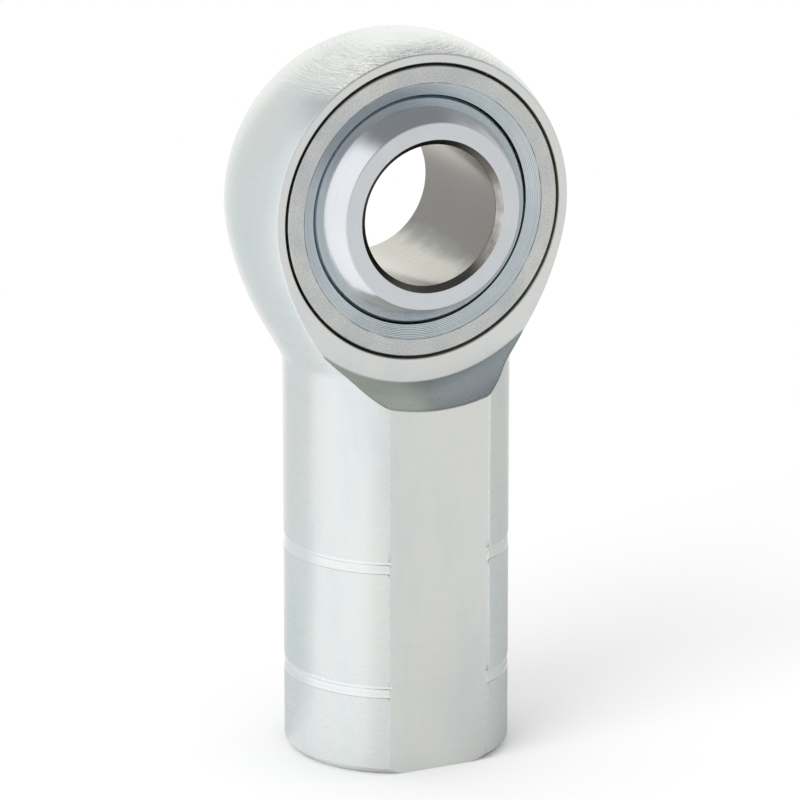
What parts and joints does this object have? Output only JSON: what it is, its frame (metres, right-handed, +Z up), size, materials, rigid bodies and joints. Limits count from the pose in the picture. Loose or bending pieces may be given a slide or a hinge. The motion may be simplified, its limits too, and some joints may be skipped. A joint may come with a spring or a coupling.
{
  "type": "female rod end",
  "caption": "Plated female rod end: a swivelling ball with a pin bore in a pressed-in race, on a round shank with wrench flats, marker grooves and an internal thread.",
  "frame": {"origin": "centre of the shank's flat base, on the axis of the threaded hole", "axes": "+Z up the shank to the head, Y along the ball's bore, X across the head"},
  "size_m": [0.038, 0.0222, 0.0825],
  "materials": {
    "plated_steel": "satin",
    "race_steel": "satin",
    "ball_steel": "polished"
  },
  "bodies": {
    "housing": {"body": "plated_steel", "race": "race_steel"},
    "ball": {"ball": "ball_steel"}
  },
  "joints": [
    {"name": "ball_tilt", "type": "hinge", "parent": "housing", "child": "ball", "pos_m": [0, 0, 0.0635], "axis": [1, 0, 0], "range_deg": [-15, 15]}
  ]
}
